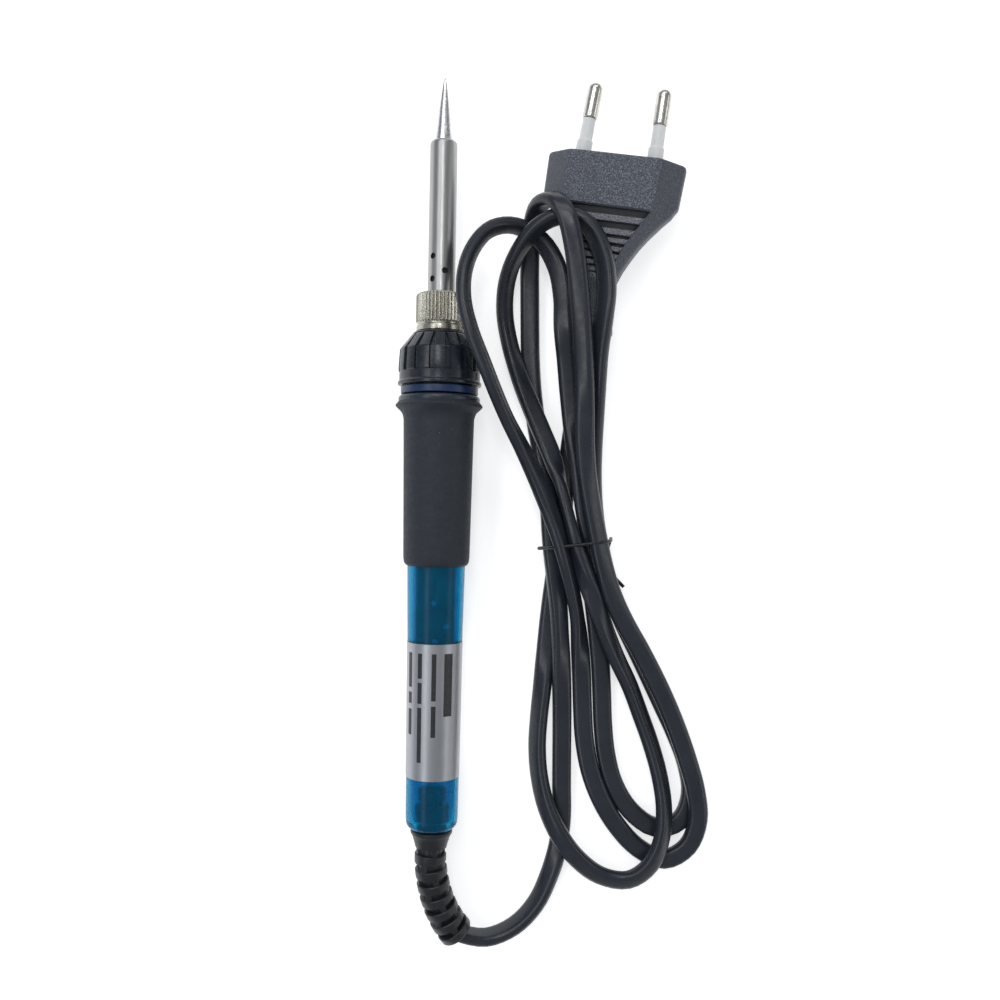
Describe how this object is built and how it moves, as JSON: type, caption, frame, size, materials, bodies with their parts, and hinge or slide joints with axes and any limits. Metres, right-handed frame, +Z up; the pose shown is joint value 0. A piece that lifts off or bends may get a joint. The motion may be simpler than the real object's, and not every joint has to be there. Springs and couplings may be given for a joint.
{
  "type": "soldering iron",
  "caption": "Pencil soldering iron with conical tip, knurled tip nut, ribbed collar, rubber grip, clear shell and a tied flat mains cord with moulded two-pin plug.",
  "frame": {"origin": "on the table under the handle axis, midway between the tip's point and the shell's rear face (bottom centre of the iron's box, cord and plug left out)", "axes": "+Y along the handle axis towards the tip, +Z up from the table, +X to the right seen from above with the tip pointing away"},
  "size_m": [0.0807, 0.2213, 0.0228],
  "materials": {
    "tip": "plated copper, bright",
    "shroud": "drawn stainless tube",
    "nut": "nickel plate, knurled",
    "nipple": "turned, threaded",
    "ceramic": "steatite",
    "alumina": "alumina",
    "collar": "ribbed, glossy",
    "shell": "tinted clear plastic",
    "grip": "matte",
    "label": "satin silver film, plain",
    "board": "solder mask",
    "capacitor": "epoxy dipped",
    "semiconductor": "moulded",
    "resistor": "lacquered",
    "lead": "braided sleeve",
    "core_brown": "insulation",
    "core_blue": "insulation",
    "clamp": "nylon",
    "boot": "soft, matte",
    "cord": "soft PVC, semi-gloss",
    "tie": "coated wire",
    "plug": "grained",
    "pin": "nickel plated",
    "sleeve": "insulating sleeve"
  },
  "bodies": {
    "handle": {"body_shell": "shell", "grip_sleeve": "grip", "rating_label": "label", "circuit_board": "board", "film_capacitor": "capacitor", "triac": "semiconductor", "resistor": "resistor", "rectifier_diode": "semiconductor", "heater_lead_left": "lead", "heater_lead_right": "lead", "mains_core_brown": "core_brown", "mains_core_blue": "core_blue", "cord_clamp": "clamp", "cord_boot": "boot", "power_cord": "cord", "twist_tie": "tie", "plug_body": "plug", "plug_pin_left": "pin", "plug_pin_right": "pin", "pin_sleeve_left": "sleeve", "pin_sleeve_right": "sleeve"},
    "heater_unit": {"heater_nipple": "nipple", "heater_base": "ceramic", "heater_rod": "alumina"},
    "collar": {"front_collar": "collar"},
    "tip": {"tip": "tip"},
    "shroud": {"tip_shroud": "shroud"},
    "nut": {"shroud_nut": "nut"}
  },
  "joints": [
    {"name": "heater_unit_slide", "type": "slide", "parent": "handle", "child": "heater_unit", "axis": [0, 1, 0], "range_m": [0, 0.003]},
    {"name": "collar_spin", "type": "hinge", "parent": "heater_unit", "child": "collar", "pos_m": [0, 0.0235, 0.011], "axis": [0, 1, 0], "range_deg": [0, 720]},
    {"name": "tip_pull", "type": "slide", "parent": "heater_unit", "child": "tip", "axis": [0, 1, 0], "range_m": [0, 0.03]},
    {"name": "shroud_travel", "type": "slide", "parent": "tip", "child": "shroud", "axis": [0, 1, 0], "range_m": [0, 0.004]},
    {"name": "nut_spin", "type": "hinge", "parent": "shroud", "child": "nut", "pos_m": [0, 0.0352, 0.011], "axis": [0, 1, 0], "range_deg": [0, 1440]}
  ],
  "couplings": [
    {"joint": "collar_spin", "follows": "heater_unit_slide", "rad_per_m": 4188.7},
    {"joint": "nut_spin", "follows": "shroud_travel", "rad_per_m": 6283.1}
  ]
}
